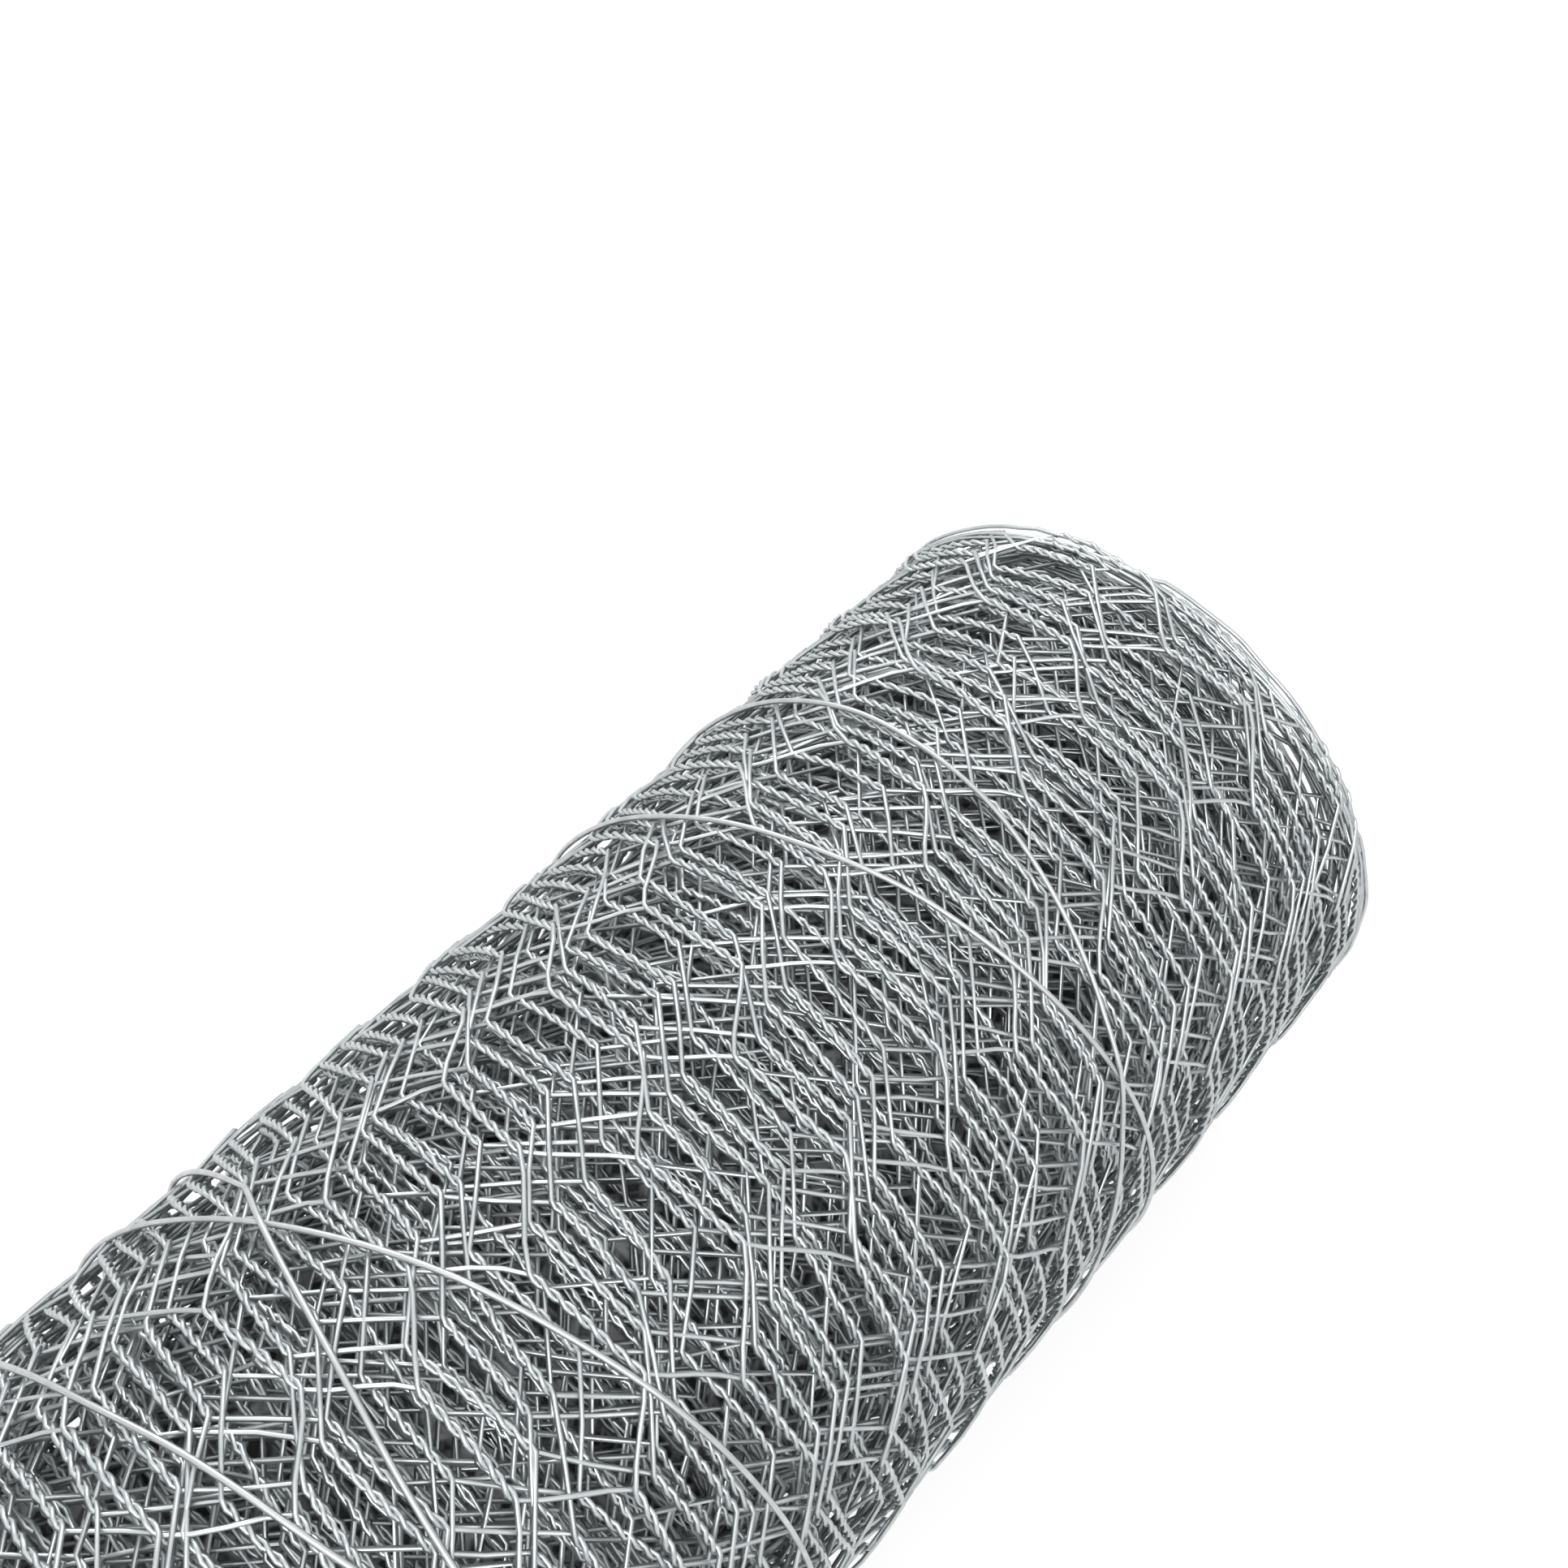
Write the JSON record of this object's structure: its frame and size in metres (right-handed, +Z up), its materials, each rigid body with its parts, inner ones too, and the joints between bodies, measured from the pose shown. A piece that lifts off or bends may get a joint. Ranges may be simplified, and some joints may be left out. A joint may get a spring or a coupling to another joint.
{
  "type": "roll of wire netting",
  "caption": "Roll of galvanised hexagonal wire netting, wound with an open bore and held closed by thin binding wires, lying on its side.",
  "frame": {"origin": "on the floor under the middle of the roll", "axes": "+X along the roll's axis towards the end that the picture shows, +Z up"},
  "size_m": [0.5, 0.1438, 0.1439],
  "materials": {
    "netting_wire": "galvanised, semi-bright zinc",
    "binding_wire": "galvanised, semi-bright zinc"
  },
  "bodies": {
    "root": {"netting_roll": "netting_wire", "binding_wire_far_under": "binding_wire", "binding_wire_far_over": "binding_wire", "binding_wire_middle_under": "binding_wire", "binding_wire_middle_over": "binding_wire", "binding_wire_middle_single": "binding_wire", "binding_wire_near_under": "binding_wire", "binding_wire_near_over": "binding_wire"}
  },
  "joints": []
}
